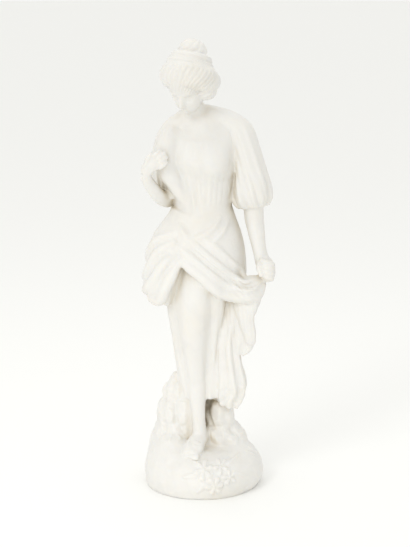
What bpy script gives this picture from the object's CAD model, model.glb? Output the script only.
# A carved marble statuette of a young woman on a round mound of ground. The stone is one mesh:
# closed forms for the body, cloth, hair, rock and ground are fused, their valleys are filled as a
# rasp leaves them, and the finer carving is then cut into the surface.
# The forms are drawn in millimetres, +Z up, facing -Y, on the middle of the flat underside.
import math

import bmesh
import bpy
import numpy as np
from mathutils import Matrix, Vector, noise
from mathutils.bvhtree import BVHTree


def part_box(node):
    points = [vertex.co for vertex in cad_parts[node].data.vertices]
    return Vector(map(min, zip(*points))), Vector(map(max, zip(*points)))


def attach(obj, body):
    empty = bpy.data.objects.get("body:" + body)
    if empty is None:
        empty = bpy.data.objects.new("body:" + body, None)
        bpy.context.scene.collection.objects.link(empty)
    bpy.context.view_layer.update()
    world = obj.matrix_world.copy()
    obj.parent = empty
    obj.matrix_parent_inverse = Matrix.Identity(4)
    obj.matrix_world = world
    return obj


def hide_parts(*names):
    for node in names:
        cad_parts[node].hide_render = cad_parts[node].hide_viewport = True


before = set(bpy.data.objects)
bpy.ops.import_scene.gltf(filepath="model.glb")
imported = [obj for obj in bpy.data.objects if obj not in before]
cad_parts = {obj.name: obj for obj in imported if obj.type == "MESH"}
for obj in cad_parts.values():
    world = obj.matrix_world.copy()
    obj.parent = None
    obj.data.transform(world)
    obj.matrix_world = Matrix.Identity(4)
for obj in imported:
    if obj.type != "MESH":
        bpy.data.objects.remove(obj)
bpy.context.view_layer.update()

MM = 0.001
STONE_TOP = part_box("statue")[1][2] / MM

# Driving sizes. The figure is drawn standing on ground at this height, and is then scaled so that
# its hair reaches the top of the solid.
GROUND = 47.0
BASE_WIDTH = 133.0
BASE_DEPTH = 126.0

# How finely the forms are meshed before they are fused, the fused grid and the finished mesh.
FINE_SIDES = 4
FINE_RINGS = 6
FINE_EGG = 3
GRID = 0.8
MOST_TRIANGLES = 190_000

TURN = 2 * math.pi


# Curves and hills


def hill(*offsets):
    """A smooth hill: 1 where every offset is 0, and 0 from where they reach 1 together."""
    far = sum(np.square(offset) for offset in offsets)
    return np.where(far < 1, np.square(1 - far), 0.0)


def step(low, high, value):
    """0 below low and 1 above high, with a smooth rise between."""
    share = np.clip((value - low) / (high - low), 0, 1)
    return share * share * (3 - 2 * share)


def apart(a, b):
    """Degrees between two bearings."""
    return np.abs((a - b + 540) % 360 - 180)


def through(a, b, c, d, share):
    """A share of the way from b to c, on a smooth curve that comes from a and goes on to d."""
    bend = 2 * a - 5 * b + 4 * c - d
    twist = 3 * (b - c) + d - a
    return b + 0.5 * share * (c - a + share * (bend + share * twist))


def row_at(rows, share):
    """The row at each share of the way down a list of rows, on a smooth curve through them."""
    rows = np.asarray(rows, float)
    last = len(rows) - 1
    at = np.clip(share, 0, 1) * last
    i = np.minimum(np.floor(at).astype(int), last - 1)
    f = np.asarray(at - i)[..., None]
    a, b, c, d = (rows[np.clip(i + k, 0, last)] for k in (-1, 0, 1, 2))
    return through(a, b, c, d, f)


def around_axis(pairs):
    """A closed smooth curve of values by bearing, from pairs of a bearing and a value."""
    bearings = np.array([p[0] for p in pairs], float)
    values = np.array([p[1] for p in pairs], float)
    count = len(pairs)

    def value(bearing):
        i = (np.searchsorted(bearings, bearing, side="right") - 1) % count
        a, b, c, d = (values[(i + k) % count] for k in (-1, 0, 1, 2))
        span = (bearings[(i + 1) % count] - bearings[i]) % 360
        f = ((bearing - bearings[i]) % 360) / span
        return through(a, b, c, d, f)

    return value


# Closed forms, all gathered in one mesh


forms = bmesh.new()


def read_points(mesh):
    points = np.empty(len(mesh.vertices) * 3)
    mesh.vertices.foreach_get("co", points)
    return points.reshape(-1, 3)


def write_points(mesh, points):
    mesh.vertices.foreach_set("co", points.ravel())
    mesh.update()


def ball(sides, rings, place=Matrix()):
    """The mesh of a ball of radius 1, as a matrix places and stretches it."""
    shape = bmesh.new()
    bmesh.ops.create_uvsphere(shape, u_segments=sides, v_segments=rings, radius=1, matrix=place)
    mesh = bpy.data.meshes.new("ball")
    shape.to_mesh(mesh)
    shape.free()
    return mesh


def gather(mesh):
    """Adds a closed mesh to the forms."""
    forms.from_mesh(mesh)
    bpy.data.meshes.remove(mesh)


def form(sides, rings, place):
    """A closed form: a capped tube whose points are put in place. place(turn, along, out) gets
    the angle about its axis, the share of its length and 1 on its wall or 0 at a cap's middle."""
    sides, rings = sides * FINE_SIDES, rings * FINE_RINGS
    mesh = ball(sides, rings + 2)
    points = read_points(mesh)
    turn = np.arctan2(points[:, 1], points[:, 0])
    level = np.rint(np.arccos(np.clip(-points[:, 2], -1, 1)) / math.pi * (rings + 2))
    out = np.where((level == 0) | (level == rings + 2), 0.0, 1.0)
    write_points(mesh, place(turn, np.clip((level - 1) / rings, 0, 1), out))
    gather(mesh)


def level_form(sides, rings, wall, low, high, lift=None):
    """A form of level sections of a wall between two heights."""

    def place(turn, along, out):
        bearing = np.degrees(turn) % 360
        points = wall(bearing, low + (high - low) * along, 0, out)
        if lift is not None:
            points[:, 2] += out * lift(bearing, along)
        return points

    form(sides, rings, place)


def sweep(rows, sides=10, rings=8, beside=(0, 1, 0), relief=None, carried=None):
    """A limb, fold or roll: oval sections along a curve. Each row is x, y, z and the section's
    two half sizes, the first of them square to both the curve and the vector beside."""

    def place(turn, along, out):
        row = row_at(rows, along)
        tangent = row_at(rows, along + 0.01)[:, :3] - row_at(rows, along - 0.01)[:, :3]
        tangent /= np.linalg.norm(tangent, axis=1)[:, None]
        across = np.cross(np.array(beside, float), tangent)
        across /= np.linalg.norm(across, axis=1)[:, None]
        deep = np.cross(tangent, across)
        extra = relief(turn, along) if relief is not None else 0.0
        a = out * (row[:, 3] + extra) * np.cos(turn)
        b = out * (row[:, 4] + extra) * np.sin(turn)
        points = row[:, :3] + a[:, None] * across + b[:, None] * deep
        return points if carried is None else moved(points, carried)

    form(sides, rings, place)


def roll(points, thick, taper=0.55, **options):
    """A round roll of cloth: a sweep of one thickness that tapers at both ends."""
    last = len(points) - 1
    sizes = [thick * taper if i in (0, last) else thick for i in range(last + 1)]
    rows = [(*p, size, size) for p, size in zip(points, sizes)]
    sweep(rows, **{"sides": 8, "rings": 9, **options})


def moved(points, matrix):
    """Points, as a matrix moves them."""
    m = np.array(matrix)
    return points @ m[:3, :3].T + m[:3, 3]


def egg(middle, half_sizes, turns=(0, 0, 0), sides=14, rings=9, carried=None):
    """An egg: a ball stretched to three half sizes, turned by three angles in degrees."""
    rx, ry, rz = (math.radians(t) for t in turns)
    place = Matrix.Translation(middle) @ Matrix.Rotation(rz, 4, "Z") @ Matrix.Rotation(ry, 4, "Y")
    place = place @ Matrix.Rotation(rx, 4, "X") @ Matrix.Diagonal((*half_sizes, 1))
    if carried is not None:
        place = carried @ place
    gather(ball(sides * FINE_EGG, rings * FINE_EGG, place))


def wall_of(rows, low, high, relief=None):
    """The wall of level ovals. Each row is x, y, the oval's half sizes across and front to back,
    and its turn in degrees; the rows stand at equal steps from low to high."""
    rows = [(*row, 0) if len(row) == 4 else row for row in rows]

    def wall(bearing, z, proud=0.0, out=1.0):
        bearing, z = np.asarray(bearing, float), np.asarray(z, float)
        x, y, wide, deep, turned = np.moveaxis(row_at(rows, (z - low) / (high - low)), -1, 0)
        rise = proud + (relief(bearing, z) if relief is not None else 0.0)
        across = out * (wide + rise) * np.cos(np.radians(bearing))
        back = out * (deep + rise) * np.sin(np.radians(bearing))
        c, s = np.cos(np.radians(turned)), np.sin(np.radians(turned))
        return np.stack([x + across * c - back * s, y + across * s + back * c, z + 0 * x], -1)

    return wall


def hanging(folds, bearing, share):
    """The rise of hanging folds, each a bearing at the bottom and at the top, a height and a
    half width in degrees, at a share of the way up."""
    return sum(
        height * hill(apart(bearing, low + (high - low) * share) / width)
        for low, high, height, width in folds
    )


# The ground and the rock


# The mound's wall from its foot to its top: a share of its height and a share of its reach
GROUND_PROFILE = [(0, 0.965), (0.1, 0.99), (0.35, 1), (0.6, 0.95), (0.82, 0.82), (0.95, 0.62), (1, 0.4)]


def ground_point(turn, along, out):
    """The mound, with an uneven edge, an undercut at the right and two swells at the rock's foot."""
    rise, reach = np.moveaxis(row_at(GROUND_PROFILE, along), -1, 0)
    foot = along > 0
    uneven = 1 + 0.012 * np.sin(3 * turn + 1) + 0.01 * np.sin(7 * turn) * rise
    undercut = 0.06 * hill((turn + 0.3) / 1.2, along / 0.3)
    share = out * (reach - undercut) * np.where(foot, uneven, 1)
    slope = 1 - 0.1 * rise * share * np.sin(turn + 2.6)
    x = BASE_WIDTH / 2 * share * np.cos(turn)
    y = BASE_DEPTH / 2 * share * np.sin(turn)
    swell = 15 * hill((x + 40) / 42, (y + 2) / 50) + 6 * hill((x - 42) / 32, (y - 4) / 40)
    return np.stack([x, y, GROUND * rise * np.where(foot, slope, 1) + swell * rise * foot], -1)


def ground():
    form(40, 9, ground_point)


LEDGE_FOOT, LEDGE_RISE = 41, 27


def ledged(bearing, z):
    """Hewn rock: upright ridges that wander, on ledges one above the other."""
    b = np.radians(bearing)
    ridges = np.abs(np.sin(3.5 * b + 0.035 * z + 0.8 * np.sin(2 * b + z * 0.05)))
    ledges = np.sqrt(np.abs(np.sin((z - LEDGE_FOOT) / LEDGE_RISE * math.pi)))
    knobs = np.sin(4 * b + z * 0.09) * np.sin(3 * b - z * 0.17)
    return 3.4 * ridges - 3.2 + 2.6 * ledges + 1.3 * knobs


def rock():
    stump = [(-22, 18, 34, 30), (-26.5, 16, 30, 27), (-26, 15, 26.5, 24), (-24, 15, 25.5, 20)]
    stump += [(-21, 16, 22, 16), (-19, 17, 15, 11)]
    shoulder = [(28, 13, 28, 30), (24, 12, 26, 27), (18, 12, 25.5, 22), (13, 14, 17, 16), (11, 17, 10, 9)]
    scree = [(-5, 16, 58, 42), (-7, 16, 54, 36), (-14, 17, 44, 28), (-14, 18, 30, 22)]
    for rows, low, high, relief, sides, rings in (
        (stump, 20, 123, ledged, 30, 13),
        (shoulder, 20, 92, ledged, 24, 9),
        (scree, 28, 66, None, 24, 5),
    ):
        level_form(sides, rings, wall_of(rows, low, high, relief), low, high)
    egg((-17, 3, 78), (12, 12, 40))
    egg((24, 6, 78), (10, 13, 21))
    egg((17.5, 2, 81), (10, 12, 20))


def ground_front(x, z):
    """How far forward the mound's wall stands at a place across it and a height."""
    rises, reaches = zip(*GROUND_PROFILE)
    reach = np.interp(z / GROUND, rises, reaches)
    return -BASE_DEPTH / 2 * math.sqrt(max(reach**2 - (2 * x / BASE_WIDTH) ** 2, 0))


# The dress


UNDERSKIRT_LOW, UNDERSKIRT_HIGH = 100, 262


def underskirt():
    rows = [(-3, 2, 18, 21), (-3.5, 2, 22.5, 23), (-4, 1, 27, 25), (-4, 0, 30.5, 28)]
    rows += [(-3, 0, 36, 31), (-2, 0, 40.5, 34), (-1, 0, 42.5, 35), (0, 1, 42, 33)]
    folds = [(214, 206, 3, 15), (236, 231, -2.5, 14), (286, 284, -3, 12), (303, 299, 3.5, 12)]
    folds += [(321, 316, -4.5, 9), (341, 336, 3, 10), (356, 356, 3, 10), (18, 20, 3, 13)]
    folds += [(42, 46, -3, 10), (63, 65, 3.5, 13), (88, 90, -3, 10), (110, 112, 3, 13)]
    folds += [(134, 136, -3, 10), (160, 158, 3.5, 13), (186, 182, -2.5, 10)]

    def relief(bearing, z):
        share = (z - UNDERSKIRT_LOW) / (UNDERSKIRT_HIGH - UNDERSKIRT_LOW)
        knee = 10 * hill(apart(bearing, 256) / 44, (z - 190) / np.where(z > 190, 75, 110))
        return knee + (1 - 0.6 * share) * hanging(folds, bearing, share)

    def hem(bearing, along):
        dip = 2 * np.sin(4 * np.radians(bearing)) - 20 * hill(apart(bearing, 95) / 110)
        return dip * np.square(1 - along)

    wall = wall_of(rows, UNDERSKIRT_LOW, UNDERSKIRT_HIGH, relief)
    level_form(60, 15, wall, UNDERSKIRT_LOW, UNDERSKIRT_HIGH, hem)


OVERSKIRT_LOW, WAIST = 200, 320
# The height of the overskirt's drawn-up edge by bearing
OVERSKIRT_EDGE = around_axis(
    [(0, 217), (40, 220), (90, 226), (130, 221), (160, 219), (182, 218), (200, 212), (214, 209)]
    + [(223, 222), (231, 247), (239, 264), (252, 256), (270, 243), (287, 229), (303, 221), (335, 216)]
)


def overskirt_relief(bearing, z):
    hip = 16 * hill(apart(bearing, 197) / 66, (z - 250) / np.where(z > 250, 92, 88))
    hip += 5 * hill(apart(bearing, 192) / 46, (z - 228) / 24)
    hip += 2.8 * hill(apart(bearing, 188) / 44, (z - 285) / 26)
    hip -= 4 * hill(apart(bearing, 236 - 0.25 * (z - 276)) / 6, (z - 277) / 16)
    folds = 2 * np.sin(9 * np.radians(bearing) + z * 0.05) * hill(apart(bearing, 90) / 120, (z - 225) / 75)
    return hip + folds


overskirt_wall = wall_of(
    [(0, 0, 42.5, 35.5), (0, -1, 45, 38), (0, -2, 46.5, 40), (0, -2, 47, 41), (0, -2, 46.5, 40)]
    + [(0, -1, 44.5, 37), (0, -1, 40.5, 33), (0, 0, 35, 28.5), (0, 0, 30.5, 24.5)],
    OVERSKIRT_LOW,
    WAIST,
    overskirt_relief,
)


def overskirt():
    def place(turn, along, out):
        bearing = np.degrees(turn) % 360
        edge = OVERSKIRT_EDGE(bearing)
        top = WAIST - 4 - 7 * hill(apart(bearing, 262) / 60)
        z = edge + (top - edge) * along
        tucked_in = np.where(along < 0.1, -6 * np.square(1 - along / 0.1), 0)
        points = overskirt_wall(bearing, z, tucked_in, out)
        points[:, 2] = np.where(out > 0.5, z, np.where(along < 0.5, 250, 308))
        return points

    form(44, 12, place)


FOLD_SUNK = 0.35


def fold_on_overskirt(thick, pairs, points=()):
    """A roll that lies sunk a share of its thickness in the overskirt, through pairs of a bearing
    and a height, and then goes on through free points."""
    laid = [tuple(overskirt_wall(bearing, z, -FOLD_SUNK * thick)) for bearing, z in pairs]
    roll([*laid, *points], thick, sides=10, rings=12, beside=(0, 0, 1))


def swag():
    lowest = [(238, 265), (252, 257), (268, 247), (284, 235), (301, 226)]
    second = [(233, 278), (249, 269), (266, 259), (284, 246), (302, 236)]
    third = [(238, 289), (256, 280), (274, 269), (291, 258), (309, 247)]
    highest = [(262, 291), (280, 282), (298, 270), (315, 258), (331, 249)]
    fold_on_overskirt(7, lowest, [(47, -32, 221), (58, -28, 224), (65, -24, 236)])
    fold_on_overskirt(5.6, second, [(46, -32, 229), (57, -27, 231), (65, -24, 240)])
    fold_on_overskirt(5, third, [(48, -28, 233), (58, -26, 233), (65, -24, 240)])
    fold_on_overskirt(4, highest, [(50, -25, 232), (59, -25, 235), (66, -23, 243)])
    low_edge = [(258, 263), (274, 253), (290, 241), (305, 230)]
    high_edge = [(262, 274), (280, 263), (297, 250), (310, 238)]
    fold_on_overskirt(2.6, low_edge, [(48, -37, 224), (58, -33, 229)])
    fold_on_overskirt(2.4, high_edge, [(49, -34, 231), (58, -31, 233)])
    fold_on_overskirt(2.4, [(244, 284), (262, 285), (282, 276), (300, 264), (318, 250)])
    fold_on_overskirt(2.2, [(252, 268), (268, 260), (284, 250), (298, 242)])
    gathers = [[(36, -35, 244), (45, -34, 239.5), (54, -30, 241), (62, -25, 246)]]
    gathers += [[(33, -38.5, 236), (44, -38, 230), (55, -34, 232), (64, -27, 240)]]
    gathers += [[(42, -39, 222), (52, -36.5, 221), (61, -30.5, 229)]]
    for points in gathers:
        roll(points, 2.7, rings=8)
    egg((53, -26, 236), (15, 7, 9), (0, 0, 12))


def hip_loop():
    fold_on_overskirt(6.2, [(239, 263), (230, 247), (222, 231), (213, 218), (198, 217), (178, 221)])
    fold_on_overskirt(6, [(236, 274), (222, 260), (210, 243), (199, 230), (184, 225), (164, 227)])
    fold_on_overskirt(5.8, [(230, 284), (213, 272), (199, 254), (186, 240), (170, 232), (148, 236)])
    fold_on_overskirt(5.2, [(222, 292), (203, 281), (187, 265), (172, 251), (154, 246), (132, 252)])
    fold_on_overskirt(2.4, [(233, 268), (221, 252), (211, 236), (202, 222), (190, 216)])
    fold_on_overskirt(2.4, [(226, 279), (211, 264), (199, 246), (188, 232), (174, 226)])


def belly_folds():
    fold_on_overskirt(4, [(248, 285), (266, 289), (286, 297), (304, 309)])
    fold_on_overskirt(3.6, [(266, 280), (284, 284), (302, 293), (322, 304)])
    fold_on_overskirt(3.2, [(228, 301), (238, 293), (250, 288)])


def cascade():
    def pleats(count, height):
        return lambda turn, along: height * np.cos(count * turn) * np.minimum(1, 2 * along)

    upper = [(64, -22, 240, 5, 6), (53, -21, 224, 13, 7), (45.5, -20, 208, 14, 8), (43, -19, 193, 12, 8)]
    upper += [(44.5, -18, 177, 13.5, 8), (42, -17, 164, 13, 7.5), (38, -16, 156, 8, 6)]
    over = [(60, -26, 232, 6, 4), (47, -29, 216, 14, 4.5), (46.5, -30, 197, 9.2, 5)]
    over += [(50.5, -29, 180, 7.5, 5), (51.5, -26, 168, 5.5, 4)]
    behind = [(20, -8, 214, 11, 9), (17, -11, 170, 10, 9), (16, -12, 135, 8, 9), (16, -12, 103, 7, 7)]
    lower = [(34, -12, 215, 11, 12), (31, -14, 190, 12, 11), (27, -16, 168, 12.5, 10)]
    lower += [(28, -17, 146, 13, 10), (31, -17, 122, 16, 10), (29.5, -16, 106, 14.5, 10)]
    lower.append((27, -15, 95, 11, 8))
    sweep(behind, 12, 6)
    sweep(upper, 24, 9, (0.35, 1, 0), pleats(5, 1.3))
    sweep(over, 18, 8, (0.35, 1, 0))
    sweep(lower, 30, 10, (0.2, 1, 0), pleats(7, 1.8))


TORSO_LOW, TORSO_HIGH = 285, 425


def neckline(bearing):
    return 404 - 12 * hill(apart(bearing, 268) / 100)


def blouse_relief(bearing, z):
    cup = (z - 375) / np.where(z < 375, 26, 34)
    drape = 6 * hill(apart(bearing, 272) / 70, cup)
    left = 7 * hill(apart(bearing, 300) / 38, (z - 364) / np.where(z < 364, 22, 36))
    right = 4 * hill(apart(bearing, 244) / 44, cup)
    pleats = 1.5 * np.cos(np.radians(21 * bearing)) * hill(apart(bearing, 262) / 34, (z - 330) / 30)
    back = -3 * hill(apart(bearing, 90) / 22, (z - 360) / 55)
    cloth = 1.2 * (1 - step(-1.2, 1.2, z - neckline(bearing)))
    return drape + left + right + pleats + back + cloth


torso_wall = wall_of(
    [(1, 0, 39, 30, 0), (0.5, 0, 33.5, 26.5, -3), (-0.5, 0, 30, 24, -6), (-1, -1, 31, 25, -9)]
    + [(-2, -1, 34, 26, -11), (-2.5, 0, 37, 26, -12), (-3, 2, 39, 24, -12), (-3, 3, 38.5, 21, -11)]
    + [(-4, 4, 33, 17, -10), (-9, 5, 13.5, 12.5, -10)],
    TORSO_LOW,
    TORSO_HIGH,
    blouse_relief,
)


def torso():
    level_form(44, 17, torso_wall, TORSO_LOW, TORSO_HIGH)
    left_shoulder = [(-10, 6, 415, 12, 12), (4, 5, 414.5, 12, 13), (18, 3, 411, 12.5, 14)]
    sweep([*left_shoulder, (31, 1, 406, 13, 14), (42, 0, 397, 13, 15)], 16, 8)
    sweep([(-8, 6, 414, 11, 12), (-20, 5, 410, 11, 13), (-32, 5, 402, 11, 13), (-39, 7, 390, 12, 14)], 16, 7)


def sleeve(rows, pleats):
    """A puffed sleeve, gathered most at its lower end."""

    def gathers(turn, along):
        uneven = np.cos(pleats * turn + 1.5 * along) + 0.6 * np.cos((pleats - 3) * turn - 2 * along + 1)
        return 0.9 * uneven * (0.25 + hill((along - 0.88) / 0.5))

    sweep(rows, sides=28, rings=12, relief=gathers)


# Arms, hands and feet


def arms():
    left_sleeve = [(19, 2, 408, 6, 8), (31, 1, 406, 12, 13), (40, 0, 396, 15, 16)]
    left_sleeve += [(45, -1, 378, 16.5, 18), (49, -2, 358, 18.5, 20), (52, -4, 338, 21.5, 21.5)]
    left_sleeve += [(53, -5, 324, 21, 19.5), (54, -6, 316, 16, 15.5)]
    sleeve(left_sleeve, pleats=9)
    left_forearm = [(54, -5, 326, 11, 11), (55, -8, 306, 10.5, 11), (58, -13, 287, 9, 9.5)]
    left_forearm += [(61, -18, 271, 7.6, 8), (64, -21, 259, 8, 8.5), (67, -22, 248, 8, 8)]
    sweep(left_forearm, sides=14, rings=7)
    right_sleeve = [(-22, 4, 404, 6, 8), (-32, 5, 402, 10.5, 12), (-39, 7, 389, 12, 15)]
    right_sleeve += [(-43, 9, 372, 12.5, 15.5), (-44, 10, 354, 13, 14), (-41, 10, 338, 11, 12)]
    right_sleeve.append((-38, 9, 326, 8, 9))
    sleeve(right_sleeve, pleats=8)
    right_forearm = [(-37, 9, 322, 7.5, 8), (-41, 3, 322.5, 8.5, 9), (-47, -8, 328, 7.8, 8.5)]
    right_forearm += [(-54, -18, 338, 6.8, 7.5), (-60, -26, 349, 5.8, 6.4), (-62, -31, 358, 5.4, 6)]
    sweep(right_forearm, sides=14, rings=8, beside=(1, 0, 0))


def hands():
    """The fist, the cloth that her right arm presses to her side, and her right hand."""
    egg((69, -24, 251.5), (9, 9.5, 15), (0, -10, 0))
    pressed_cloth = [(-30, 1, 404, 6, 7), (-37, -9, 389, 11.5, 12), (-40, -16, 373, 12.5, 13)]
    pressed_cloth += [(-38.5, -17, 359, 12, 12.5), (-30, -14, 345, 10.5, 12), (-20, -9, 326, 8, 12)]
    sweep(pressed_cloth, 14, 9)
    inner = [(-27, -5, 399, 6, 7), (-29, -9, 388, 8.5, 9.5), (-29, -11, 376, 9, 11), (-26, -10, 358, 8, 10)]
    sweep(inner, 12, 7)
    sweep([(-46, 4, 366, 8, 8), (-39, 1, 346, 9, 10), (-31, 0, 326, 9, 9)], 10, 6)
    palm = [(-62, -31, 358, 5.4, 6), (-59, -34, 364, 5, 7.5), (-55, -36, 369, 4.6, 8.8)]
    sweep([*palm, (-51, -36, 373, 4, 8.6)], sides=12, rings=5, beside=(1, 0, -1))
    for i in range(4):
        z = 262 - 5.3 * i
        wrapped = [(61.5 + 0.6 * i, -29, z + 1), (66.5 + 0.4 * i, -34.5, z - 0.5), (73, -33.5, z - 3)]
        roll([*wrapped, (75.5 - 0.6 * i, -27, z - 5.5)], 3.2, taper=0.85, rings=7)
        x, z = -57 + 3 * i, 374.5 - 3.6 * i
        length = (14.5, 17, 15.5, 12)[i]
        straight = [(x, -36.5, z), (x + 0.45 * length, -37.5, z + 0.36 * length)]
        roll([*straight, (x + 0.79 * length, -34.5, z + 0.6 * length)], 2.7, taper=0.8, rings=6)
    roll([(61, -25, 262), (60, -32, 254), (63, -36, 246)], 3.3, taper=0.8, rings=5)
    roll([(-61, -35, 364), (-60, -38, 373), (-55, -38, 381)], 3, taper=0.8, rings=5)


def feet():
    shin = [(-7, -13, 124, 11, 11), (-6.5, -13, 105, 9.5, 10), (-6, -13, 90, 8, 8.5)]
    sweep([*shin, (-5, -12, 74, 7.2, 8), (-4.5, -11, 58, 8.5, 9)], sides=14, rings=6)
    foot = [(3, 4, 55, 6, 7), (0, -3, 56.5, 8, 9.5), (-5, -14, 55, 9.5, 9)]
    foot += [(-9.5, -24, 51.2, 10.8, 7.5), (-12.5, -33, 47.5, 11, 6), (-13.5, -40, 45, 8.6, 4.2)]
    egg((-9, -24, 40), (12, 19, 8))
    sweep(foot, sides=14, rings=9, beside=(0, 0, 1))
    left_shin = [(12, 8, 120, 10, 10), (14, 11, 95, 8.5, 9), (16, 13, 72, 7.5, 8), (17, 12, 50, 9, 10)]
    sweep(left_shin, sides=10, rings=5)
    for i in range(5):
        back = 0.3 * i + 0.5 * i * i
        size = 3 if i == 0 else 2.5 - 0.1 * i
        egg((-7.5 - 3.4 * i, -43 + back, 44), (size, 5, size), (16, 0, -10), 8, 6)


# The neck, head and hair. The head is drawn upright about its own middle, facing -Y, then
# bowed and turned to her right. The hair rises to the front, off the brow.


HEAD_MIDDLE, HEAD_BOW, HEAD_TURN = (-16, -17, 453.5), 32, -26
HAIR_MIDDLE, HAIR_BOW, HAIR_TURN, HAIR_LEAN = (-14, -17, 460), -17, -24, 4
BROW, CHIN, CROWN = 0, -29, 27

# The roll of hair round her head: its ring's half sizes across and front to back, its height, its
# section's half sizes, and the mean radius that its strands are carved on
ROLL_WIDE, ROLL_DEEP, ROLL_HEIGHT = 21, 19.5, -2
ROLL_THICK, ROLL_TALL = 11.3, 13.5
ROLL_RADIUS = 20.2


def carried(middle, bow, turn, lean=0):
    place = Matrix.Translation(middle) @ Matrix.Rotation(math.radians(lean), 4, "Y")
    place = place @ Matrix.Rotation(math.radians(turn), 4, "Z")
    return place @ Matrix.Rotation(math.radians(bow), 4, "X")


def face_relief(bearing, z):
    side = apart(bearing, 270)
    nose_foot = (BROW + CHIN) / 2
    nose = 6 * hill(side / 13, (z - nose_foot - 2.5) / np.where(z > nose_foot + 2.5, 15, 4.5))
    wings = 1.6 * hill((side - 8) / 6, (z - nose_foot - 1.5) / 3)
    brow = 1.4 * hill((side - 22) / 26, (z - BROW - 1) / 5)
    socket = -3.4 * hill((side - 26) / 17, (z - BROW + 4.5) / 5.5)
    eye = 2.2 * hill((side - 26) / 12, (z - BROW + 5) / 2.8)
    upper_lip = 2 * hill(side / 17, (z - nose_foot + 4.2) / 2)
    lower_lip = 2.2 * hill(side / 14, (z - nose_foot + 7.2) / 2.3)
    chin = 2.5 * hill(side / 24, (z - CHIN - 4) / 5.5)
    return nose + wings + brow + socket + eye + upper_lip + lower_lip + chin


def head():
    rows = [(0, -9, 6, 9), (0, -8, 12.5, 14), (0, -6, 16.5, 18), (0, -3, 19, 21), (0, 0, 20.5, 23.5)]
    rows += [(0, 1, 21, 25), (0, 2, 20.5, 25), (0, 2, 17, 21.5), (0, 2, 8, 11)]
    wall = wall_of(rows, CHIN, CROWN, face_relief)

    def place(turn, along, out):
        points = wall(np.degrees(turn) % 360, CHIN + (CROWN - CHIN) * along, 0, out)
        return moved(points, carried(HEAD_MIDDLE, HEAD_BOW, HEAD_TURN))

    form(40, 22, place)


def hair():
    place = carried(HAIR_MIDDLE, HAIR_BOW, HAIR_TURN, HAIR_LEAN)

    def ring(x, wide, deep, back, z, a, b, count):
        turns = [(i + 0.5) / count * TURN for i in range(count + 1)]
        return [(x + wide * math.sin(t), back + deep * math.cos(t), z, a, b) for t in turns]

    def locks(count, twist):
        return lambda turn, along: 0.7 * np.cos(count * turn + twist * TURN * along)

    level = (0, 0, 1)
    egg((0, 0, 0), (31, 29.5, 18.5), sides=22, rings=14, carried=place)
    roll_of_hair = ring(0, ROLL_WIDE, ROLL_DEEP, 0, ROLL_HEIGHT, ROLL_THICK, ROLL_TALL, 16)
    sweep(roll_of_hair, 14, 36, level, locks(3, 6), place)
    egg((17, 5, -11), (13, 14, 12), carried=place)
    egg((-3, 1, 13.5), (23.5, 22, 12), sides=20, rings=10, carried=place)
    for z, wide in ((11.5, 20.5), (18.5, 17.5)):
        sweep(ring(-3.2, wide, wide - 1.5, 1, z, 5.6, 5.6, 14), 10, 28, level, None, place)
    egg((-3.5, 1.5, 20), (18, 17, 9), sides=16, rings=8, carried=place)
    egg((-4, 2, 26.5), (15.5, 14.5, 14), sides=16, rings=10, carried=place)
    sweep(ring(-4, 10.5, 9.5, 2, 26, 5.6, 7.5, 12), 9, 22, level, locks(2, 4), place)


def neck():
    rows = [(-7, 6, 402, 17, 14), (-9, 4, 414, 14, 13), (-13, -2, 428, 12.8, 12.5), (-16, -9, 442, 13, 14)]
    sweep(rows, sides=16, rings=7)


# Fusing the forms and finishing the stone


def read_normals(mesh):
    normals = np.empty(len(mesh.vertices) * 3)
    mesh.vertex_normals.foreach_get("vector", normals)
    return normals.reshape(-1, 3)


def with_modifier(piece, kind, **settings):
    """The piece's mesh once a modifier has run on it."""
    modifier = piece.modifiers.new(kind.title(), kind)
    for name, value in settings.items():
        setattr(modifier, name, value)
    evaluated = piece.evaluated_get(bpy.context.evaluated_depsgraph_get())
    mesh = bpy.data.meshes.new_from_object(evaluated)
    piece.modifiers.remove(modifier)
    old = piece.data
    piece.data = mesh
    bpy.data.meshes.remove(old)
    return mesh


class Neighbours:
    """The mean of each point's neighbours along the edges of a mesh."""

    def __init__(self, mesh):
        edges = np.empty(len(mesh.edges) * 2, dtype=np.int32)
        mesh.edges.foreach_get("vertices", edges)
        pairs = edges.reshape(-1, 2)
        self.here = np.concatenate([pairs[:, 0], pairs[:, 1]])
        self.there = np.concatenate([pairs[:, 1], pairs[:, 0]])
        self.total = len(mesh.vertices)
        self.count = np.maximum(np.bincount(self.here, minlength=self.total), 1)

    def mean(self, values):
        if values.ndim == 1:
            return np.bincount(self.here, values[self.there], self.total) / self.count
        return np.stack([self.mean(values[:, k]) for k in range(values.shape[1])], 1)


def near(points, middle, reach):
    """1 at a place and 0 beyond its reach, with a soft edge."""
    away = np.linalg.norm(points - np.array(middle, float), axis=1)
    return 1 - step(0.75, 1.0, away / reach)


# Where the stone stays crisp: a middle, a reach and the share of the filling that is left out, for
# the right hand, the fist, the toes, the face, the hair, the upper cascade, the gathers beside the
# fist and the loop over the hip
CRISP_PLACES = [
    ((-50, -34, 371), 22, 0.9),
    ((70, -26, 248), 20, 0.9),
    ((-15, -38, 48), 18, 0.7),
    ((-22, -32, 436), 24, 0.93),
    ((-14, -12, 468), 42, 0.72),
    ((44, -30, 195), 32, 0.55),
    ((32, -36, 242), 38, 0.5),
    ((-42, -20, 240), 40, 0.4),
]


def softness(points):
    """How much of the valleys a rasp fills: 1 on plain cloth, and less at the crisp places."""
    crisp = np.zeros(len(points))
    for middle, reach, share in CRISP_PLACES:
        crisp = np.maximum(crisp, share * near(points, middle, reach))
    return 1 - crisp


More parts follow.
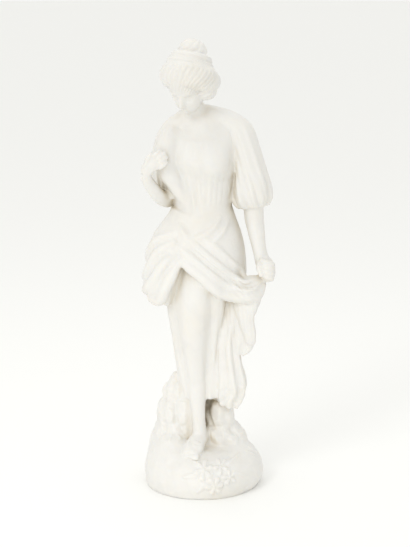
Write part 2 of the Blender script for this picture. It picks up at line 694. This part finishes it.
def fuse():
    mesh = bpy.data.meshes.new("statue_marble")
    forms.to_mesh(mesh)
    forms.free()
    piece = bpy.data.objects.new("statue_marble", mesh)
    bpy.context.scene.collection.objects.link(piece)
    with_modifier(piece, "REMESH", mode="VOXEL", voxel_size=GRID, adaptivity=0.0)
    return piece


def drop_crumbs(piece):
    """Deletes every loose part but the one that reaches highest."""
    shape = bmesh.new()
    shape.from_mesh(piece.data)
    top = max(shape.verts, key=lambda vert: vert.co.z)
    kept, edge_of_kept = {top}, [top]
    while edge_of_kept:
        for edge in edge_of_kept.pop().link_edges:
            for vert in edge.verts:
                if vert not in kept:
                    kept.add(vert)
                    edge_of_kept.append(vert)
    crumbs = [vert for vert in shape.verts if vert not in kept]
    bmesh.ops.delete(shape, geom=crumbs, context="VERTS")
    shape.to_mesh(piece.data)
    shape.free()


# The rounds of filling, the share of the way to its neighbours' mean that a point in a valley is
# moved in each, and that share for a point on a ridge: on any stone, and added on soft stone
ROUNDS = 34
FILL = 0.62
WEAR, SOFT_WEAR = 0.06, 0.05


def fill_valleys(piece):
    """Moves points outwards where the stone is hollow, so that joined forms flow together."""
    mesh = piece.data
    points = read_points(mesh)
    around = Neighbours(mesh)
    soft = softness(points)
    for _ in range(ROUNDS):
        pull = around.mean(points) - points
        normals = read_normals(mesh)
        outwards = np.einsum("ij,ij->i", pull, normals)
        rate = np.where(outwards > 0, FILL * soft, WEAR + SOFT_WEAR * soft)
        points += rate[:, None] * pull
        write_points(mesh, points)


# The fine carving, cut into the fused stone as heights in millimetres


def lobes(turns):
    """Round ridges with sharp valleys between them, one for each half turn."""
    return np.abs(np.sin(turns)) - 0.62


def between(low, high, value, soft):
    """1 between two values and 0 outside them, with soft ends."""
    return step(low, low + soft, value) * (1 - step(high - soft, high, value))


def hair_strands(points):
    """Strands swept up the roll, turns round the wound band, and curls on the bun."""
    back = carried(HAIR_MIDDLE, HAIR_BOW, HAIR_TURN, HAIR_LEAN).inverted()
    x, y, z = moved(points, back).T
    around = np.arctan2(x, y)
    ring = ROLL_RADIUS * (np.hypot(x / ROLL_WIDE, y / ROLL_DEEP) - 1)
    skin = np.square(ring / ROLL_THICK) + np.square((z - ROLL_HEIGHT) / ROLL_TALL)
    reach = np.hypot(x, y) < 36
    swept = around + 0.014 * z + 0.07 * np.sin(3 * around + 0.1 * z)
    on_roll = 0.95 * lobes(17 * swept) + 0.5 * lobes(41 * swept + 0.8)
    wave = z + 1.5 * np.sin(around + 0.6) + 0.5 * np.sin(4 * around)
    on_band = 0.75 * lobes(wave * math.pi / 3.6)
    on_bun = 0.8 * lobes(4 * around + 0.3 * z + 0.5 * np.sin(0.5 * z))
    on_bun += 0.35 * lobes(11 * around + 0.5 * z)
    on_roll *= between(0.5, 2.2, skin, 0.25) * between(-26, 8, z, 3)
    height = on_roll + between(7, 23, z, 1.5) * on_band + step(22, 24, z) * (z < 45) * on_bun
    return height * reach


# Each sleeve's side, and the middles of its top and of its lower end
SLEEVES = [(1, (33, 1, 400), (55, -6, 314)), (-1, (-37, 7, 396), (-42, 10, 328))]


def cloth_folds(points):
    """Small folds: pleats at the waist, gathers down the sleeves, and the hang of the skirts."""
    x, y, z = points.T
    b = np.arctan2(y, x)
    bearing = np.degrees(b) % 360
    front = between(215, 325, bearing, 20)
    behind = between(20, 165, bearing, 25)
    blouse = (np.abs(x + 2) < 34) * (np.hypot(x / 40, y / 30) < 1.15) * (z < neckline(bearing) - 3)
    pleats = lobes(15 * b + 0.5 * np.sin(0.07 * z)) * (0.3 + 0.55 * hill((z - 336) / 40))
    pleats += 1.9 * lobes(5.5 * b + 0.012 * z + 1) * behind * between(318, 400, z, 20)
    height = 0.75 * pleats * blouse * between(318, 402, z, 10) * np.maximum(front, behind)

    for side, top, low in SLEEVES:
        share = np.clip((z - low[2]) / (top[2] - low[2]), 0, 1)
        off_x = x - low[0] - (top[0] - low[0]) * share
        off_y = y - low[1] - (top[1] - low[1]) * share
        outside = step(22, 30, side * (x + 4 * side)) * (np.hypot(off_x, off_y) < 25)
        gathers = lobes(8 * np.arctan2(off_y, off_x) + 0.03 * z) * (0.55 + 0.8 * np.square(1 - share))
        height += 1.15 * gathers * outside * between(low[2], top[2] + 6, z, 8)

    clings = 1 - 0.75 * hill(apart(bearing, 250) / 50)
    skirt = between(98, 262, z, 4) * (np.hypot(x / 50, y / 42) < 1)
    height += 0.6 * lobes(13 * b + 0.02 * z + 0.9 * np.sin(3 * b)) * skirt * clings * step(0.3, 0.9, clings)
    over = between(212, 314, z, 12) * (np.hypot((x + 4) / 66, y / 52) < 1)
    height += 2.4 * lobes(6.5 * b + 0.01 * (z - 260)) * over * behind
    across = z + 0.85 * x - 268
    swag_share = hill(across / 26) * between(-14, 62, x, 8) * (y < -6) * (z > 214)
    height += 0.55 * lobes(across * math.pi / 5.4) * swag_share
    falls = (x > 22) * (y < -14) * between(96, 226, z, 8)
    height += 0.45 * lobes((x + 0.1 * (z - 160)) * math.pi / 4.6) * falls
    return height


# On the front of the mound, by their places across and up: each blossom's middle, its number of
# petals, their length and its lean, each leaf's foot, length and direction, and each stem's ends
BLOSSOMS = [(0, 33, 6, 11, 0.3), (19, 36, 5, 9, 0.8), (12, 16, 6, 10, 0.1), (29, 24, 5, 8.5, 0.5)]
LEAVES = [(-7, 40, 12, 2.7), (-9, 28, 13, 3.4), (1, 17, 12, 3.9), (28, 38, 12, 0.3), (35, 27, 12, -0.4)]
STEMS = [(-4, 44, 14, 49), (12, 45, 32, 41), (22, 24, 30, 34), (6, 24, 10, 30)]
# The two ends of each blade at the mound's right
FROND = [((46, -30, 42), (58, -26, 33)), ((48, -24, 43), (60, -18, 33)), ((50, -17, 43), (62, -10, 33))]
FROND += [((52, -9, 43), (63, -2, 33)), ((44, -34, 43), (53, -34, 33))]


def ridge(points, start, end, wide_start, wide_end, height):
    """The rise of a round ridge from one point to another."""
    start, end = np.array(start, float), np.array(end, float)
    way = end - start
    share = np.clip((points - start) @ way / (way @ way), 0, 1)
    away = np.linalg.norm(points - start - share[:, None] * way, axis=1)
    wide = wide_start + (wide_end - wide_start) * share
    return height * np.sqrt(hill(away / wide))


def flowers(points):
    """Flowers, leaves and stems in low relief on the mound, in front of her foot."""

    def on_front(x, z):
        return (x, ground_front(x, z), z)

    near_it = np.flatnonzero((points[:, 1] < 0) & (points[:, 2] < 56) & (points[:, 0] > -26))
    some = points[near_it]
    rise = np.zeros(len(some))
    for x, z, to_x, to_z in STEMS:
        rise = np.maximum(rise, ridge(some, on_front(x, z), on_front(to_x, to_z), 1.8, 1.8, 1.1))
    for x, z, length, turn in LEAVES:
        tip = on_front(x + length * math.cos(turn), z + length * math.sin(turn))
        leaf = ridge(some, on_front(x, z), tip, 4.2, 1.4, 1.7)
        rise = np.maximum(rise, leaf - ridge(some, on_front(x, z), tip, 1.3, 0.8, 0.9))
    for start, end in FROND:
        rise = np.maximum(rise, ridge(some, start, end, 3.4, 1.6, 2.2))
    for x, z, count, length, lean in BLOSSOMS:
        middle = on_front(x, z)
        for i in range(count):
            turn = i / count * TURN + lean
            tip = on_front(x + 0.72 * length * math.cos(turn), z + 0.72 * length * math.sin(turn))
            petal = ridge(some, middle, tip, 1.2, 0.36 * length, 2.4)
            rise = np.maximum(rise, petal - ridge(some, middle, tip, 1.4, 1, 0.7))
        rise = np.maximum(rise, ridge(some, middle, np.add(middle, 0.1), 0.26 * length, 2, 3))
    height = np.zeros(len(points))
    height[near_it] = rise
    return height


def rough(points, size):
    """Smooth noise from -1 to 1, with bumps of about one size."""
    return np.fromiter((noise.noise(Vector(p)) for p in points / size), float, len(points))


def hewn(points):
    """The rock's broken face, the ground's worn one, and a little unevenness everywhere."""
    x, y, z = points.T
    off_skirt = step(1.1, 1.35, np.square((x + 3) / 22) + np.square((y - 2) / 25))
    off_shin = step(12, 17, np.hypot(x + 6, y + 14))
    rock_share = between(48, 124, z, 8) * np.where(z > 96, off_skirt, 1) * off_shin
    ground_share = between(2, 54, z, 4) * np.where(z > 38, off_shin, 1)
    broken = 1 - 2.2 * np.abs(rough(points * (1, 1, 0.6), 9))
    height = rock_share * (1.2 * broken + 0.6 * rough(points, 3.6))
    off_flowers = 1 - near(points, (12, -58, 27), 34)
    height += ground_share * off_flowers * (0.7 * rough(points + 31, 9) + 0.2 * rough(points, 3.2))
    return height + 0.2 * rough(points + 77, 8) * (z > 8) * (z < 422)


def carve(piece):
    """Cuts the fine carving into the stone, eased a little so that its edges aren't jagged."""
    mesh = piece.data
    points = read_points(mesh)
    height = hair_strands(points) + cloth_folds(points) + flowers(points) + hewn(points)
    around = Neighbours(mesh)
    eased = 0.6 * height + 0.4 * around.mean(height)
    write_points(mesh, points + eased[:, None] * read_normals(mesh))


# What is lower than this is laid flat, as the underside
UNDERSIDE = 0.8


def finish_stone(piece):
    """Scales the figure to the solid's height, flattens the underside, and thins the mesh."""
    mesh = piece.data
    points = read_points(mesh)
    scale = (STONE_TOP - GROUND) / (points[:, 2].max() - GROUND)
    above = points[:, 2] > GROUND
    points[above, 2] = GROUND + (points[above, 2] - GROUND) * scale
    points[:, 2] = np.where(points[:, 2] < UNDERSIDE, 0.0, points[:, 2])
    points[:, 2] -= points[:, 2].min()
    write_points(mesh, points * MM)
    ratio = MOST_TRIANGLES / (2 * len(mesh.polygons))
    with_modifier(piece, "DECIMATE", ratio=min(1.0, ratio))
    piece.data.name = "statue_marble"
    piece.data.shade_smooth()


# How closed in the stone is, for the dust that its hollows hold


# The directions that are tried from each point, how far stone counts as near, how far off the
# surface a ray starts, and the least cosine at which a direction leaves the surface
RAYS = 30
REACH = 0.045
LIFT = 0.4
GRAZING = 0.15


def mark_hollows(piece):
    """Sets the attribute hollow: the share of the sky over each point that near stone hides."""
    mesh = piece.data
    tree = BVHTree.FromObject(piece, bpy.context.evaluated_depsgraph_get())
    heights = 1 - 2 * (np.arange(RAYS) + 0.5) / RAYS
    turns = np.arange(RAYS) * math.pi * (3 - math.sqrt(5))
    wide = np.sqrt(1 - heights**2)
    ways = np.stack([wide * np.cos(turns), wide * np.sin(turns), heights], 1)
    points, normals = read_points(mesh), read_normals(mesh)
    facing = normals @ ways.T
    rays = [Vector(way) for way in ways]
    starts = points + LIFT * MM * normals
    hidden = np.zeros(len(points))
    for i, start in enumerate(starts):
        origin = Vector(start)
        for k in np.flatnonzero(facing[i] > GRAZING):
            distance = tree.ray_cast(origin, rays[k], REACH)[3]
            if distance is not None:
                hidden[i] += facing[i, k] * (1 - distance / REACH)
    hidden /= np.maximum(np.maximum(facing, 0).sum(1), 1)
    around = Neighbours(mesh)
    for _ in range(2):
        hidden = 0.5 * hidden + 0.5 * around.mean(hidden)
    attribute = mesh.attributes.new("hollow", "FLOAT", "POINT")
    attribute.data.foreach_set("value", hidden)


dress = (underskirt, overskirt, swag, hip_loop, belly_folds, cascade, torso)
for draw in (*dress, feet, arms, hands, neck, head, hair, ground, rock):
    draw()
statue = fuse()
drop_crumbs(statue)
fill_valleys(statue)
carve(statue)
finish_stone(statue)
mark_hollows(statue)


# The marble


class Value:
    """A socket of a material, on which sums can be written."""

    def __init__(self, material, socket):
        self.material = material
        self.socket = socket

    def math(self, operation, *others):
        return self.material.node("Math", {"operation": operation}, (self, *others))

    def __add__(self, other):
        return self.math("ADD", other)

    def __sub__(self, other):
        return self.math("SUBTRACT", other)

    def __rsub__(self, other):
        return self.material.node("Math", {"operation": "SUBTRACT"}, (other, self))

    def __mul__(self, other):
        return self.math("MULTIPLY", other)

    __radd__, __rmul__ = __add__, __mul__

    def smooth(self, low, high):
        return self.material.node("MapRange", {"interpolation_type": "SMOOTHSTEP"}, (self, low, high))


class Finish:
    """A material whose nodes are added one at a time."""

    def __init__(self, name):
        self.made = bpy.data.materials.new(name)
        self.made.use_nodes = True
        self.tree = self.made.node_tree
        self.shader = self.tree.nodes["Principled BSDF"]

    def node(self, kind, settings=None, inputs=(), output=0):
        """A node of a type, its settings made first, and its sockets given values or links."""
        made = self.tree.nodes.new("ShaderNode" + kind)
        for name, value in (settings or {}).items():
            setattr(made, name, value)
        pairs = inputs.items() if isinstance(inputs, dict) else enumerate(inputs)
        for key, value in pairs:
            self.set(made.inputs[key], value)
        return Value(self, made.outputs[output])

    def set(self, socket, value):
        if isinstance(value, Value):
            self.tree.links.new(value.socket, socket)
        else:
            socket.default_value = value

    def mix(self, share, one, other):
        inputs = {0: share, 6: one, 7: other}
        return self.node("Mix", {"data_type": "RGBA"}, inputs, output=2)


CLEAN_MARBLE = (0.785, 0.772, 0.74, 1)
GREY_MARBLE = (0.705, 0.7, 0.683, 1)
WARM_MARBLE = (0.735, 0.69, 0.605, 1)
OLD_DUST = (0.44, 0.37, 0.24, 1)


def marble():
    finish = Finish("marble")
    place = finish.node("TexCoord", output="Object")

    def cloud(size, detail=3.0, distortion=0.0):
        """Noise from 0 to 1, with patches of about one size in metres."""
        inputs = {"Vector": place, "Scale": 1 / size, "Detail": detail, "Distortion": distortion}
        return finish.node("TexNoise", {}, inputs)

    hollow = finish.node("Attribute", {"attribute_name": "hollow"}, output="Fac")
    drift = cloud(0.09, 4, 0.6)
    vein = 1 - ((cloud(0.12, 5, 1.8) - 0.5) * 2).math("ABSOLUTE").smooth(0.0, 0.1)
    stain = cloud(0.035, 4)
    grain = cloud(0.0014, 2)
    colour = finish.mix(drift.smooth(0.45, 0.75) * 0.45, CLEAN_MARBLE, WARM_MARBLE)
    colour = finish.mix(vein * drift.smooth(0.4, 0.6) * 0.3, colour, GREY_MARBLE)
    closed_in = hollow + (stain - 0.5) * 0.14
    dust = closed_in.smooth(0.3, 0.9)
    colour = finish.mix(closed_in.smooth(0.06, 0.45) * 0.7, colour, WARM_MARBLE)
    colour = finish.mix(dust * 0.85, colour, OLD_DUST)
    finish.set(finish.shader.inputs["Base Color"], colour)
    finish.set(finish.shader.inputs["Roughness"], 0.36 + 0.12 * stain + 0.3 * dust + 0.06 * grain)
    pits = cloud(0.004, 3).smooth(0.3, 0.55)
    relief = grain * 0.25 + pits * 0.5 + cloud(0.011, 3) * 0.9
    bump = finish.node("Bump", {}, {"Strength": 0.22, "Distance": 0.0006, "Height": relief})
    finish.set(finish.shader.inputs["Normal"], bump)
    finish.shader.inputs["Subsurface Weight"].default_value = 0.22
    finish.shader.inputs["Subsurface Radius"].default_value = (1.0, 0.85, 0.65)
    finish.shader.inputs["Subsurface Scale"].default_value = 0.004
    finish.shader.inputs["IOR"].default_value = 1.49
    return finish.made


statue.data.materials.append(marble())
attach(statue, "root")
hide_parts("statue")


# Floor, light and camera


def floor():
    shape = bmesh.new()
    bmesh.ops.create_circle(shape, cap_ends=True, segments=96, radius=6.0)
    mesh = bpy.data.meshes.new("floor")
    shape.to_mesh(mesh)
    shape.free()
    piece = bpy.data.objects.new("floor", mesh)
    material = bpy.data.materials.new("floor")
    material.use_nodes = True
    shader = material.node_tree.nodes["Principled BSDF"]
    shader.inputs["Base Color"].default_value = (0.95, 0.95, 0.935, 1)
    shader.inputs["Roughness"].default_value = 0.8
    mesh.materials.append(material)
    bpy.context.scene.collection.objects.link(piece)


def area_light(name, place, aim, size, power, spread=180):
    light = bpy.data.lights.new(name, "AREA")
    light.shape = "DISK"
    light.size = size
    light.energy = power
    light.spread = math.radians(spread)
    lamp = bpy.data.objects.new(name, light)
    lamp.location = place
    lamp.rotation_euler = (Vector(aim) - Vector(place)).to_track_quat("-Z", "Y").to_euler()
    bpy.context.scene.collection.objects.link(lamp)


def studio():
    floor()
    world = bpy.data.worlds.new("studio")
    bpy.context.scene.world = world
    world.use_nodes = True
    backdrop = world.node_tree.nodes["Background"]
    backdrop.inputs["Color"].default_value = (0.95, 0.95, 0.93, 1)
    backdrop.inputs["Strength"].default_value = 0.97
    area_light("key", (-1.2, -1.8, 1.9), aim=(0, 0, 0.25), size=0.9, power=10.5)
    area_light("low", (-0.2, -0.8, 0.2), aim=(0, 0, 0.07), size=0.4, power=0.25, spread=90)
    area_light("back", (0, 0.3, 1.0), aim=(0, 0.1, 0), size=0.8, power=0.8)


# The camera's place in metres, how far it looks down in degrees, and its lens in millimetres
CAMERA_AWAY, CAMERA_UP, CAMERA_SIDE = 2.0, 0.72, 0.0016
CAMERA_PITCH = 13.468
LENS = 123.1


def camera():
    data = bpy.data.cameras.new("camera")
    data.sensor_width = 36
    data.lens = LENS
    data.clip_end = 50
    eye = bpy.data.objects.new("camera", data)
    eye.location = (CAMERA_SIDE, -CAMERA_AWAY, CAMERA_UP)
    eye.rotation_euler = (math.radians(90 - CAMERA_PITCH), 0, 0)
    bpy.context.scene.collection.objects.link(eye)
    bpy.context.scene.camera = eye


studio()
camera()
bpy.context.scene.view_settings.view_transform = "Standard"
